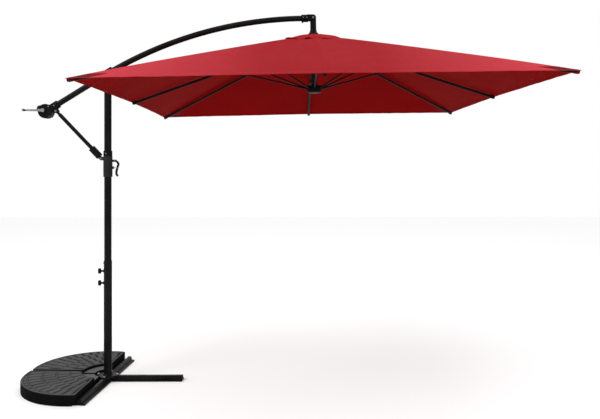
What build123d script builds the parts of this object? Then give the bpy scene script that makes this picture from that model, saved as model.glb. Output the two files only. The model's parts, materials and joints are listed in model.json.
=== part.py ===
from build123d import *
import math
import os

# Cantilever garden umbrella with a weighted cross base.  Units are millimetres.
# Origin: on the ground, on the mast's axis.  +X points from the mast to the canopy,
# +Z is up.  The umbrella is modelled open and held, which is its rest pose.

os.makedirs("parts", exist_ok=True)

# ---- driving dimensions -------------------------------------------------------------
# base
BASE_TURN = -5.6
RIGHT_FOOT_SKEW = 5
BAR_HALF = 35
BAR_HEIGHT = 34
NEAR_FOOT_REACH = 466
FAR_FOOT_REACH = 432
RIGHT_FOOT_REACH = 503
LEFT_FOOT_REACH = 472
BAR_WALL = 2
FLANGE_THICK = 6
BOLT_CIRCLE = 65
BOLT_R = 4
PLATE_TURN = -3.9
PLATE_R = 408
PLATE_CENTRE_X = -110
PLATE_CENTRE_OFF = 58
PLATE_EDGE_X = {-1: -33, 1: -24}
PLATE_TOP = 67
RECESS_R = 163
RECESS_FLOOR = 50
FLANGE_CUT_R = 86
SEAM_Y = -20
SEAM_HALF = 13
# mast
LOWER_R = 27
LOWER_WALL = 1.8
LOWER_TOP = 799
UPPER_R = 24
UPPER_WALL = 1.6
UPPER_BOTTOM = 600
MAST_TOP = 1991
THUMB_HEIGHTS = {"thumb_screw_upper": 734, "thumb_screw_lower": 654}
# arm: straight tail, then one arc to the elbow
ARM_R = 19
ARM_WALL = 1.6
BEND_R = 2640
TAIL_SLOPE = 32
END_SLOPE = 0.6
ARM_END = (1330, 2436.7)
HOUSING_X = -410
SADDLE_HALF = 40
STRUT_TOP = (-342, 1806)
CRANK_AXIS = (-419, 1809)
# slider and strut
SLIDER_PIVOT = (-42, 1489)
SLIDER_BOTTOM = 1366
SLIDER_SHOULDER = 1504
SLIDER_TOP = 1541
SLIDER_R = 30
STRUT_R = 12.8
STRUT_EYE_R = 13.5
STRUT_EYE_HOLE_R = 9.2
LEVER_PIVOT = (50, 1474)
BRAKE_Z = 1428
# hanging canopy, measured down from the elbow bolt
ELBOW = (1379, 2440)
CANOPY_LEAN = 1.05
CANOPY_HALF = 1250
EDGE_DIP = 18
APEX_Z = -114
RIM_DROP = 442
FABRIC = 1.5
VENT_HALF = 190
VENT_APEX_Z = -104
VENT_LIFT = 7
PIVOT_R = 38
HUB_Z = -161
RUNNER_Z = -482
RIB_R = 8.5
STRETCHER_R = 5.5
RIB_BELOW_FABRIC = 13
STRETCHER_LENGTH = 562
FOLDED_CORNER = math.radians(84.2)
LINK_RIB = 3
LINK = 11
PIN_R = 2
CORNER_FORK = (88, 9)
MIDDLE_FORK = (60, 9)
# crank
CRANK_REACH = 119
# screws of the casing: place along and above the tail, half width there, side of the head
HOUSING_SCREWS = ((36.5, 13, 33, -1), (70, 0, 27, -1), (-14, 44, 29, 1), (6, -45, 33, 1))
LINK_X = 62
SLEEVE_SCREWS = (1312, 1337)
# fits
RUNNING = 0.05
GAP = 0.4


# ---- small helpers ------------------------------------------------------------------
def tube_z(outer, inner, bottom, top):
    """Upright tube from z = bottom to z = top, on the Z axis."""
    middle = (bottom + top) / 2
    height = top - bottom
    return Pos(0, 0, middle) * (Cylinder(outer, height) - Cylinder(inner, height + 2))


def bar_y(radius, y0, y1, x=0.0, z=0.0):
    """Round bar along Y."""
    return Pos(x, (y0 + y1) / 2, z) * Rot(90, 0, 0) * Cylinder(radius, abs(y1 - y0))


def bar_x(radius, x0, x1, y=0.0, z=0.0):
    """Round bar along X."""
    return Pos((x0 + x1) / 2, y, z) * Rot(0, 90, 0) * Cylinder(radius, abs(x1 - x0))


def bar_z(radius, z0, z1, x=0.0, y=0.0):
    """Round bar along Z."""
    return Pos(x, y, (z0 + z1) / 2) * Cylinder(radius, abs(z1 - z0))


def block(x0, x1, y0, y1, z0, z1):
    """Box between two corners."""
    return Pos((x0 + x1) / 2, (y0 + y1) / 2, (z0 + z1) / 2) * Box(x1 - x0, y1 - y0, z1 - z0)


def hex_y(across, y0, y1, x=0.0, z=0.0):
    """Hexagonal head or nut with its axis along Y."""
    face = RegularPolygon(across / 2, 6, major_radius=False)
    return Pos(x, y1, z) * Rot(90, 0, 0) * extrude(face, y1 - y0)


def thick_path(points, width):
    """Flat face that follows a path at a constant width with round ends."""
    face = Pos(*points[0]) * Circle(width / 2)
    for (ax, ay), (bx, by) in zip(points, points[1:]):
        length = math.hypot(bx - ax, by - ay)
        turn = math.degrees(math.atan2(by - ay, bx - ax))
        face += Pos((ax + bx) / 2, (ay + by) / 2) * Rot(0, 0, turn) * Rectangle(length, width)
        face += Pos(bx, by) * Circle(width / 2)
    return face


def on_xz(face, half):
    """Stand a face drawn in X and Z upright and give it a thickness of 2 * half along Y."""
    return Pos(0, half, 0) * Rot(90, 0, 0) * extrude(face, 2 * half)


def save(name, *solids):
    """Write one node."""
    node = Compound(children=[s for part in solids for s in part.solids()])
    node.label = name
    export_step(node, f"parts/{name}.step")


# ---- derived places -----------------------------------------------------------------
END_A = math.radians(END_SLOPE)
TAIL_A = math.radians(TAIL_SLOPE)
BEND_X = ARM_END[0] + BEND_R * math.sin(END_A)
BEND_Z = ARM_END[1] - BEND_R * math.cos(END_A)
TANGENT = (BEND_X - BEND_R * math.sin(TAIL_A), BEND_Z + BEND_R * math.cos(TAIL_A))
ARM_PIVOT_Z = BEND_Z + math.sqrt(BEND_R**2 - BEND_X**2)
ARM_PIVOT_SLOPE = math.degrees(math.asin(BEND_X / BEND_R))


def on_tail(x):
    """Height of the arm's straight tail at x."""
    return TANGENT[1] + (x - TANGENT[0]) * math.tan(TAIL_A)


HOUSING = (HOUSING_X, on_tail(HOUSING_X))
TUBE_TAIL = (-374, on_tail(-374))
STRUT_LENGTH = math.hypot(STRUT_TOP[0] - SLIDER_PIVOT[0], STRUT_TOP[1] - SLIDER_PIVOT[1])
STRUT_SLOPE = math.degrees(
    math.atan2(STRUT_TOP[1] - SLIDER_PIVOT[1], STRUT_TOP[0] - SLIDER_PIVOT[0])
)
BASE = Rot(0, 0, BASE_TURN)
HANG = Pos(ELBOW[0], 0, ELBOW[1]) * Rot(0, -CANOPY_LEAN, 0)
FLANGE_Z = BAR_HEIGHT
FLANGE_TOP = FLANGE_Z + FLANGE_THICK

# Ribs.  All stretchers but one are equally long.  Rib 3's stretcher hangs on a short link at the
# runner, which turns half round while the canopy folds and so keeps the runner on its axis.
CORNER_TIP = CANOPY_HALF * math.sqrt(2) - 16
MIDDLE_TIP = CANOPY_HALF - EDGE_DIP - 14
CORNER_FALL = RIM_DROP / (CANOPY_HALF * math.sqrt(2))
MIDDLE_FALL = RIM_DROP / CANOPY_HALF


def rib_slope(tip, fall):
    """Angle below level of a rib whose end lies just under the fabric."""
    drop = HUB_Z - (APEX_Z - tip * fall - RIB_BELOW_FABRIC)
    return math.atan2(drop, tip - PIVOT_R)


CORNER_SLOPE = rib_slope(CORNER_TIP, CORNER_FALL)
MIDDLE_SLOPE = rib_slope(MIDDLE_TIP, MIDDLE_FALL)
OPEN_DROP = HUB_Z - RUNNER_Z


def rib_arm(slope):
    """Distance along a rib from its hub pivot to its stretcher's pivot."""
    across = OPEN_DROP * math.cos(slope)
    return OPEN_DROP * math.sin(slope) + math.sqrt(STRETCHER_LENGTH**2 - across**2)


def stretcher_slope(arm, rib_angle, drop):
    """Angle of a stretcher, rising outwards, when its inner pivot is that far below the hub's."""
    return math.atan2(drop - arm * math.sin(rib_angle), arm * math.cos(rib_angle))


def folded_angle(arm, length, drop):
    """Angle of a rib below level when its stretcher's inner pivot is that far below the hub's."""
    return math.asin((arm**2 + drop**2 - length**2) / (2 * arm * drop))


CORNER_ARM = rib_arm(CORNER_SLOPE)
MIDDLE_ARM = rib_arm(MIDDLE_SLOPE)
FOLDED_REACH = CORNER_ARM * math.cos(FOLDED_CORNER)
FOLDED_DROP = CORNER_ARM * math.sin(FOLDED_CORNER) + math.sqrt(STRETCHER_LENGTH**2 - FOLDED_REACH**2)
FOLDED_MIDDLE = folded_angle(MIDDLE_ARM, STRETCHER_LENGTH, FOLDED_DROP)
LINK_STRETCHER = math.hypot(
    MIDDLE_ARM * math.cos(MIDDLE_SLOPE), OPEN_DROP - LINK - MIDDLE_ARM * math.sin(MIDDLE_SLOPE)
)
FOLDED_LINK_RIB = folded_angle(MIDDLE_ARM, LINK_STRETCHER, FOLDED_DROP + LINK)


# ---- base ---------------------------------------------------------------------------
def hat_face(half, height):
    """Section of a foot bar: a narrow ridge over two low flanges."""
    top = half * 0.36
    low = height * 0.28
    points = [
        (-half, 0),
        (half, 0),
        (half, low),
        (top + 4, low + 3),
        (top, height),
        (-top, height),
        (-top - 4, low + 3),
        (-half, low),
    ]
    face = make_face(Polyline(*points, close=True))
    ridge = face.vertices().sort_by(Axis.Y)[-2:]
    return fillet(ridge, 4)


def hat_bar(half, height, length):
    """Hollow foot bar from x = 0 to x = length."""
    outer = hat_face(half, height)
    inner = offset(outer, -BAR_WALL, kind=Kind.INTERSECTION)
    bar = extrude(outer - inner, length)
    return Rot(0, 0, 90) * Rot(90, 0, 0) * bar


def hat_cap(half, height, x):
    """Moulded end cap that stands a little proud of its bar."""
    lip = extrude(hat_face(half + 0.8, height + 1.2), 4)
    plug = extrude(offset(hat_face(half, height), -BAR_WALL - 0.1, kind=Kind.INTERSECTION), -14)
    return Pos(x, 0, 0) * Rot(0, 0, 90) * Rot(90, 0, 0) * (lip + plug)


def make_base():
    turn_long = BASE * Rot(0, 0, 90)
    turn_right = BASE * Rot(0, 0, RIGHT_FOOT_SKEW)
    turn_left = BASE * Rot(0, 0, 180)
    long_length = NEAR_FOOT_REACH + FAR_FOOT_REACH - 8
    long_bar = Pos(4 - NEAR_FOOT_REACH, 0, 0) * hat_bar(BAR_HALF, BAR_HEIGHT, long_length)
    start = BAR_HALF + 6
    side_bars = []
    for turn, reach in ((turn_right, RIGHT_FOOT_REACH), (turn_left, LEFT_FOOT_REACH)):
        bar = Pos(start, 0, 0) * hat_bar(BAR_HALF, BAR_HEIGHT, reach - start - 4)
        side_bars.append(turn * bar)
    for angle in (0, 180):
        hole = bar_z(BOLT_R + 0.2, 6, 60, BOLT_CIRCLE)
        long_bar -= Rot(0, 0, angle) * hole
        side_bars = [bar - BASE * Rot(0, 0, angle) * hole for bar in side_bars]
    save("foot_bars", turn_long * long_bar, *side_bars)

    save(
        "foot_end_caps",
        turn_long * hat_cap(BAR_HALF, BAR_HEIGHT, FAR_FOOT_REACH - 4),
        turn_long * Rot(0, 0, 180) * hat_cap(BAR_HALF, BAR_HEIGHT, NEAR_FOOT_REACH - 4),
        turn_right * hat_cap(BAR_HALF, BAR_HEIGHT, RIGHT_FOOT_REACH - 4),
        turn_left * hat_cap(BAR_HALF, BAR_HEIGHT, LEFT_FOOT_REACH - 4),
    )

    corner = 14
    side = BOLT_CIRCLE * math.sqrt(2) + 2 * corner
    plate = Pos(0, 0, FLANGE_Z) * Rot(0, 0, 45) * extrude(RectangleRounded(side, side, corner), FLANGE_THICK)
    weld = Pos(0, 0, FLANGE_TOP + 4) * (Cone(LOWER_R + 8, LOWER_R + 1, 8) - Cylinder(LOWER_R + RUNNING, 10))
    flange = plate + weld
    fasteners = []
    for quarter in range(4):
        spot = Rot(0, 0, 90 * quarter)
        flange -= spot * bar_z(BOLT_R + 0.2, FLANGE_Z - 1, FLANGE_TOP + 1, BOLT_CIRCLE)
        head = Pos(BOLT_CIRCLE, 0, FLANGE_TOP) * extrude(RegularPolygon(7.5, 6), 6)
        shank = bar_z(BOLT_R, FLANGE_Z - 14, FLANGE_TOP, BOLT_CIRCLE)
        fasteners.append(BASE * spot * (head + shank))
    save("mast_flange", BASE * flange)
    save("flange_fasteners", *fasteners)


def weight_plate(side):
    """Quarter-round weight on one side of the seam; side is -1 for the front one, 1 for the back."""
    reach = PLATE_R + 10
    centre_y = SEAM_Y + side * PLATE_CENTRE_OFF
    disc = Pos(0, centre_y, 0) * bar_z(PLATE_R, 0, PLATE_TOP, PLATE_CENTRE_X)
    y0, y1 = sorted((SEAM_Y + side * SEAM_HALF, centre_y + side * reach))
    plate = disc & block(PLATE_CENTRE_X - reach, PLATE_EDGE_X[side], y0, y1, -1, PLATE_TOP + 1)
    upright = plate.edges().filter_by(Axis.Z)
    plate = fillet(upright.sort_by(Axis.X)[:1], 12)
    top = plate.edges().filter_by(lambda e: min(v.Z for v in e.vertices()) > PLATE_TOP - 1)
    plate = Rot(0, 0, PLATE_TURN) * fillet(top, 4)
    plate -= bar_z(RECESS_R, RECESS_FLOOR, PLATE_TOP + 1)
    plate -= bar_z(FLANGE_CUT_R, -1, PLATE_TOP)
    under_left = block(-reach * 2, 0, -BAR_HALF - 2, BAR_HALF + 2, -1, BAR_HEIGHT + 2)
    under_long = block(-BAR_HALF - 3, BAR_HALF + 3, -reach * 2, reach * 2, -1, BAR_HEIGHT * 0.28 + 5)
    return plate - BASE * under_left - BASE * under_long


def make_mast():
    lower = tube_z(LOWER_R, LOWER_R - LOWER_WALL, FLANGE_TOP, LOWER_TOP)
    bush_outer = LOWER_R - LOWER_WALL - RUNNING
    bush_inner = UPPER_R + RUNNING
    bush = tube_z(bush_outer, bush_inner, LOWER_TOP - 40, LOWER_TOP)
    bush += tube_z(LOWER_R + 0.6, bush_inner, LOWER_TOP, LOWER_TOP + 4)
    rivet_z = LOWER_TOP - 12
    lower -= bar_x(2.6, -LOWER_R - 5, -LOWER_R + 5, z=rivet_z)
    rivet = bar_x(2.5, -LOWER_R - 1, -bush_outer + 0.5, z=rivet_z)
    head = Pos(-LOWER_R, 0, rivet_z) * Sphere(5)
    rivet += head & block(-LOWER_R - 6, -LOWER_R - 0.05, -6, 6, rivet_z - 6, rivet_z + 6)
    bush += rivet
    seat = tube_z(bush_outer, bush_inner, UPPER_BOTTOM - 0.05, UPPER_BOTTOM + 24)
    seat += tube_z(bush_outer, UPPER_R - 4, UPPER_BOTTOM - 5, UPPER_BOTTOM - 0.05)
    boss_end = -LOWER_R - 7
    for height in THUMB_HEIGHTS.values():
        neck = Pos((boss_end - LOWER_R + 1) / 2, 0, height) * Rot(0, 90, 0) * Cone(8, 11, 8)
        lower += neck
        lower -= bar_x(3 + RUNNING, boss_end - 1, -LOWER_R + 4, z=height)
    lower -= bar_z(LOWER_R - LOWER_WALL, LOWER_TOP - 180, LOWER_TOP + 1)
    save("lower_mast", lower)
    save("mast_bushes", bush, seat)

    for name, height in THUMB_HEIGHTS.items():
        stud = bar_x(3, -50, -UPPER_R - RUNNING, z=height)
        wings = Rot(0, 90, 0) * extrude(Ellipse(18, 9.5), 10, both=True)
        knob = Pos(-55, 0, height) * fillet(wings.edges(), 4)
        knob += Pos(-41, 0, height) * Rot(0, 90, 0) * Cone(8, 5.5, 10)
        knob -= bar_x(3, -50, 0, z=height)
        save(name, stud, knob)

    upper = tube_z(UPPER_R, UPPER_R - UPPER_WALL, UPPER_BOTTOM, MAST_TOP)
    save("upper_mast", upper)


def make_bracket():
    """Fork on the mast's top that carries the arm."""
    ear_in = 23.6
    ear_out = 29
    cap = tube_z(UPPER_R + 5, UPPER_R + RUNNING, MAST_TOP - 46, MAST_TOP)
    cap += bar_z(UPPER_R + 5, MAST_TOP, MAST_TOP + 6)
    cap = fillet(cap.edges().filter_by(GeomType.CIRCLE).sort_by(Axis.Z)[:1], 1.5)
    for side in (-1, 1):
        y0, y1 = sorted((side * ear_in, side * ear_out))
        ear = block(-21, 21, y0, y1, MAST_TOP - 20, ARM_PIVOT_Z)
        ear += bar_y(21, y0, y1, 0, ARM_PIVOT_Z)
        cap += ear
    cap -= bar_z(UPPER_R + RUNNING, MAST_TOP - 60, MAST_TOP)
    cap -= bar_y(5 + RUNNING, -40, 40, 0, ARM_PIVOT_Z)
    bolt = bar_y(5, -ear_out - 1, ear_out + 8, 0, ARM_PIVOT_Z)
    bolt += hex_y(17, -ear_out - 7, -ear_out - 0.1, 0, ARM_PIVOT_Z)
    nut = hex_y(17, ear_out + 0.1, ear_out + 8, 0, ARM_PIVOT_Z)
    save("arm_bracket", cap)
    save("arm_pivot_bolt", bolt + nut)


# ---- arm ----------------------------------------------------------------------------
def make_arm():
    start = Vector(TUBE_TAIL[0], 0, TUBE_TAIL[1])
    tangent = Vector(TANGENT[0], 0, TANGENT[1])
    end = Vector(ARM_END[0], 0, ARM_END[1])
    along = (tangent - start).normalized()
    path = Line(start, tangent) + TangentArc(tangent, end, tangent=along)
    section = Plane(origin=start, z_dir=along) * (Circle(ARM_R) - Circle(ARM_R - ARM_WALL))
    tube = sweep(section, path=path)
    tube -= bar_y(5.08, -30, 30, 0, ARM_PIVOT_Z)
    tube -= Pos(HOUSING[0], 0, HOUSING[1]) * Rot(0, -TAIL_SLOPE, 0) * bar_y(2.55, -30, 30, 70, 0)
    save("arm_tube", tube)

    place = Pos(0, 0, ARM_PIVOT_Z) * Rot(0, -ARM_PIVOT_SLOPE, 0)
    saddle = bar_x(29, -SADDLE_HALF, SADDLE_HALF) & block(-50, 50, -23.2, 23.2, -40, 40)
    saddle = fillet(saddle.edges().filter_by(GeomType.LINE), 2)
    saddle -= bar_x(ARM_R + GAP, -50, 50)
    saddle -= bar_y(5.08, -30, 30)
    save("arm_saddle", place * saddle)


def make_housing():
    """Crank casing in two shells on the arm's tail, with the strut's fork below it."""
    tail = Pos(HOUSING[0], 0, HOUSING[1]) * Rot(0, -TAIL_SLOPE, 0)
    reach = 96
    half = 33
    lug_x, lug_z = tail_local(STRUT_TOP)
    axle_x, axle_z = tail_local(CRANK_AXIS)
    body = fillet(bar_y(48, -half, half).edges().filter_by(GeomType.CIRCLE), 6)
    lobe = bar_y(20, -half + 4, half - 4, -20, 34)
    body += fillet(lobe.edges().filter_by(GeomType.CIRCLE), 4)
    neck = bar_x(27, 20, reach)
    body += fillet(neck.edges().filter_by(GeomType.CIRCLE).sort_by(Axis.X)[-1:], 4)
    body += block(lug_x - 14, lug_x + 14, -19, 19, lug_z, -10) + bar_y(14, -19, 19, lug_x, lug_z)
    body -= bar_y(43, -half + 4, half - 4)
    body -= bar_y(24, -10.5, 10.5, lug_x, lug_z)
    tube_start = tail_local(TUBE_TAIL)[0]
    body -= bar_x(ARM_R + RUNNING, tube_start, reach + 1)
    body -= bar_x(ARM_R - ARM_WALL, 0, tube_start + 1)
    body -= bar_y(8 + RUNNING, -half - 1, half - 2, axle_x, axle_z)
    body -= bar_y(4 + RUNNING, -40, 40, lug_x, lug_z)
    for x, z, face, side in HOUSING_SCREWS:
        if math.hypot(x, z) < 60:
            body += bar_y(4.5, -face + 3, face - 3, x, z)
        body -= bar_y(2.5 + RUNNING, -40, 40, x, z)
        y0, y1 = sorted((side * face, side * 40))
        body -= bar_y(4.6, y0, y1, x, z)
    front = body & block(-100, 200, -60, 0, -150, 150)
    back = body & block(-100, 200, 0, 60, -150, 150)
    save("crank_housing_front", tail * front)
    save("crank_housing_back", tail * back)

    screws = []
    for x, z, face, side in HOUSING_SCREWS:
        y0, y1 = sorted((side * (face + 0.05), side * (face + 3)))
        y2, y3 = sorted((-side * (face - 2), side * (face + 1)))
        screws.append(tail * (bar_y(2.5, y2, y3, x, z) + bar_y(4.5, y0, y1, x, z)))
    pin = bar_y(4, -20, 20, lug_x, lug_z)
    pin += bar_y(7, -22, -19.05, lug_x, lug_z) + bar_y(7, 19.05, 22, lug_x, lug_z)
    screws.append(tail * pin)
    save("arm_fasteners", *screws, *elbow_screws())


def tail_local(point):
    """Place in X and Z, measured along and above the arm's tail from the housing's centre."""
    dx = point[0] - HOUSING[0]
    dz = point[1] - HOUSING[1]
    return (
        dx * math.cos(TAIL_A) + dz * math.sin(TAIL_A),
        -dx * math.sin(TAIL_A) + dz * math.cos(TAIL_A),
    )


def make_crank():
    """Winding spool, the cranked handle with its shaft, and the handle's grip."""
    axis = Pos(CRANK_AXIS[0], 0, CRANK_AXIS[1])
    spool = bar_y(11, -26, 26) + bar_y(28, -27, -24) + bar_y(28, 24, 27)
    spool -= bar_y(8, -30, 30)
    save("crank_spool", axis * spool)

    outline = Polyline((4, 9), (-CRANK_REACH, 5), (-CRANK_REACH, -5), (4, -9), close=True)
    handle = Pos(0, -47, 0) * on_xz(make_face(outline), 3)
    handle += Pos(0, -42.5, 0) * Rot(90, 0, 0) * Cone(15, 12, 15)
    handle += bar_y(5, -50, -44, -CRANK_REACH) + bar_y(8, -50, 30.5)
    handle += bar_y(3, -72, -46, -CRANK_REACH) + bar_y(5, -74.2, -72, -CRANK_REACH)
    save("crank_handle", axis * handle)
    grip = fillet(bar_y(8, -71.8, -50.3, -CRANK_REACH).edges().filter_by(GeomType.CIRCLE), 2)
    save("crank_grip", axis * (grip - bar_y(3 + RUNNING, -80, -40, -CRANK_REACH)))


# ---- elbow and hanger ---------------------------------------------------------------
def elbow_screws():
    """Screws of the elbow sleeve on both of its sides, and the elbow bolt."""
    parts = []
    for side in (-1, 1):
        for x in SLEEVE_SCREWS:
            y0, y1 = sorted((side * 24.1, side * 27))
            parts.append(bar_y(4.2, y0, y1, x, ARM_END[1] + 2))
    bolt = bar_y(4, -20, 20, *ELBOW)
    bolt += bar_y(7, -23, -19.05, *ELBOW) + bar_y(7, 19.05, 23, *ELBOW)
    parts.append(bolt)
    return parts


def make_elbow():
    end = Pos(ARM_END[0], 0, ARM_END[1]) * Rot(0, -END_SLOPE - 0.4, 0)
    collar = bar_x(25, -30, 15)
    collar = fillet(collar.edges().filter_by(GeomType.CIRCLE), 2)
    collar += on_xz(make_face(Polyline((-28, -21), (-12, -21), (-25, -35), close=True)), 5)
    cheeks = on_xz(Pos(*ELBOW) * Circle(20) + Pos(ELBOW[0] - 20, ELBOW[1]) * Rectangle(40, 40), 19)
    sleeve = end * collar + cheeks
    sleeve -= block(1347, 1420, -14.4, 14.4, 2380, 2500)
    sleeve -= end * bar_x(ARM_R + 0.15, -40, 0.2)
    sleeve -= bar_y(4 + RUNNING, -40, 40, *ELBOW)
    for side in (-1, 1):
        for x in SLEEVE_SCREWS:
            y0, y1 = sorted((side * 24, side * 40))
            sleeve -= bar_y(4.3, y0, y1, x, ARM_END[1] + 2)
    save("elbow_sleeve", sleeve)

    leg = on_xz(Circle(20) + Pos(0, -46) * Rectangle(40, 92), 14)
    leg = fillet(leg.edges().filter_by(Axis.Z), 3)
    flare = Pos(0, 0, -84.5) * Cone(25, 19, 25)
    leg += flare
    leg += bar_z(14, HUB_Z + 13, -80)
    leg -= bar_y(4 + RUNNING, -40, 40)
    leg -= bar_z(3 + RUNNING, HUB_Z, HUB_Z + 42)
    save("elbow_leg", HANG * leg)

    dome = Pos(0, 0, -130) * Sphere(41) & bar_z(50, -119, -60)
    dome -= Pos(0, 0, -130) * Sphere(38.5)
    dome -= bar_z(14.05, -130, -60)
    dome -= Pos(0, 0, -84.5) * Cone(25 + RUNNING, 19 + RUNNING, 25)
    save("dome_cap", HANG * dome)


def runner_link():
    """Two small side plates on one cross pin, with stub pins into the runner below it."""
    link = on_xz(thick_path([(PIVOT_R, 0), (PIVOT_R, LINK)], 8.5), 5.4)
    link -= block(PIVOT_R - 8, PIVOT_R + 8, -2.6, 2.6, -8, LINK + 8)
    link += bar_y(PIN_R, -3, 3, PIVOT_R, LINK)
    for side in (-1, 1):
        y0, y1 = sorted((side * 5.3, side * 8))
        link += bar_y(PIN_R, y0, y1, PIVOT_R)
    return link


def make_hub_and_runner():
    hub = bar_z(47, HUB_Z - 12, HUB_Z + 13)
    hub = fillet(hub.edges().filter_by(GeomType.CIRCLE), 2)
    hub += bar_z(24, HUB_Z - 90, HUB_Z)
    hub -= bar_z(20.4, HUB_Z - 91, HUB_Z + 8)
    hub -= bar_z(3 + RUNNING, HUB_Z, HUB_Z + 14)
    pins = []
    runner = bar_z(47.5, RUNNER_Z - 26, RUNNER_Z + 22)
    runner = fillet(runner.edges().filter_by(GeomType.CIRCLE).sort_by(Axis.Z)[:1], 12)
    runner -= bar_z(20.05, RUNNER_Z - 12, RUNNER_Z + 30)
    groove = bar_z(50, RUNNER_Z + 8, RUNNER_Z + 11) - bar_z(46.5, RUNNER_Z, RUNNER_Z + 20)
    runner -= groove
    runner_pins = []
    for number in range(8):
        spoke = Rot(0, 0, 45 * number)
        slot = block(30, 60, -2.8, 2.8, -30, 7.6)
        hole = bar_y(PIN_R, -8, 8, PIVOT_R)
        hub -= spoke * Pos(0, 0, HUB_Z) * slot
        hub -= spoke * Pos(0, 0, HUB_Z) * hole
        pins.append(HANG * spoke * Pos(0, 0, HUB_Z) * hole)
        at_runner = spoke * Pos(0, 0, RUNNER_Z)
        if number + 1 == LINK_RIB:
            runner -= at_runner * block(21.5, 60, -5.9, 5.9, -LINK - 7.6, 30)
            runner -= at_runner * bar_y(PIN_R + RUNNING, -12, 12, PIVOT_R)
            save("runner_link", HANG * at_runner * runner_link())
        else:
            runner -= at_runner * block(30, 60, -2.8, 2.8, -7.6, 30)
            runner -= at_runner * hole
            runner_pins.append(HANG * at_runner * hole)
    screw = bar_z(6, HUB_Z + 2, HUB_Z + 7.95) + bar_z(3, HUB_Z + 7, HUB_Z + 41)
    pins.append(HANG * screw)
    post = tube_z(20, 18.2, RUNNER_Z - 12, HUB_Z - 34)
    save("canopy_hub", HANG * hub)
    save("hub_pins", *pins)
    save("runner", HANG * runner, *runner_pins)
    save("runner_post", HANG * post)


# ---- ribs and stretchers ------------------------------------------------------------
def make_rib(number):
    corner = number % 2 == 0
    slope = CORNER_SLOPE if corner else MIDDLE_SLOPE
    tip = CORNER_TIP if corner else MIDDLE_TIP
    length = (tip - PIVOT_R) / math.cos(slope)
    rib = bar_x(RIB_R, 20, length) - bar_x(RIB_R - 1.2, 19, length + 1)
    rib += bar_x(RIB_R - 1.2, 20, 34) + bar_x(RIB_R + 0.8, length - 22, length)
    rib += on_xz(Circle(7) + Pos(13, 0) * Rectangle(26, 12), 2.5)
    rib -= bar_y(PIN_R + RUNNING, -10, 10)
    if number == LINK_RIB:
        rib -= bar_y(PIN_R + RUNNING, -20, 20, MIDDLE_ARM)
    azimuth = 45 * number - 45
    place = HANG * Rot(0, 0, azimuth) * Pos(PIVOT_R, 0, HUB_Z) * Rot(0, math.degrees(slope), 0)
    save(f"rib_{number}", place * rib)


def make_stretcher(number):
    corner = number % 2 == 0
    linked = number == LINK_RIB
    length = LINK_STRETCHER if linked else STRETCHER_LENGTH
    inner_z = RUNNER_Z + (LINK if linked else 0)
    if corner:
        slope = stretcher_slope(CORNER_ARM, CORNER_SLOPE, HUB_Z - inner_z)
    else:
        slope = stretcher_slope(MIDDLE_ARM, MIDDLE_SLOPE, HUB_Z - inner_z)
    back, front = CORNER_FORK if corner else MIDDLE_FORK
    cheek_in = RIB_R + 1.4
    tube_end = length - back
    strut = bar_x(STRETCHER_R, 28, tube_end) - bar_x(STRETCHER_R - 1, 27, tube_end - 6)
    strut += bar_x(STRETCHER_R - 1, 28, 42)
    strut += on_xz(Circle(5 if linked else 7) + Pos(17, 0) * Rectangle(34, 9), 2.5)
    strut -= bar_y(PIN_R + RUNNING, -10, 10)
    fork = block(tube_end - 12, length + front, -cheek_in - 2.5, cheek_in + 2.5, -7, 7)
    fork = fillet(fork.edges().filter_by(Axis.Y), 5)
    fork -= block(tube_end + 3, length + front + 1, -cheek_in, cheek_in, -10, 10)
    strut += fork
    for side in (-1, 1):
        y0, y1 = sorted((side * (cheek_in + 2), side * (cheek_in + 4)))
        strut += bar_y(4, y0, y1, length)
    if linked:
        strut += bar_y(PIN_R, -cheek_in - 1, cheek_in + 1, length)
    azimuth = 45 * number - 45
    place = HANG * Rot(0, 0, azimuth) * Pos(PIVOT_R, 0, inner_z) * Rot(0, -math.degrees(slope), 0)
    save(f"stretcher_{number}", place * strut)


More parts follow.
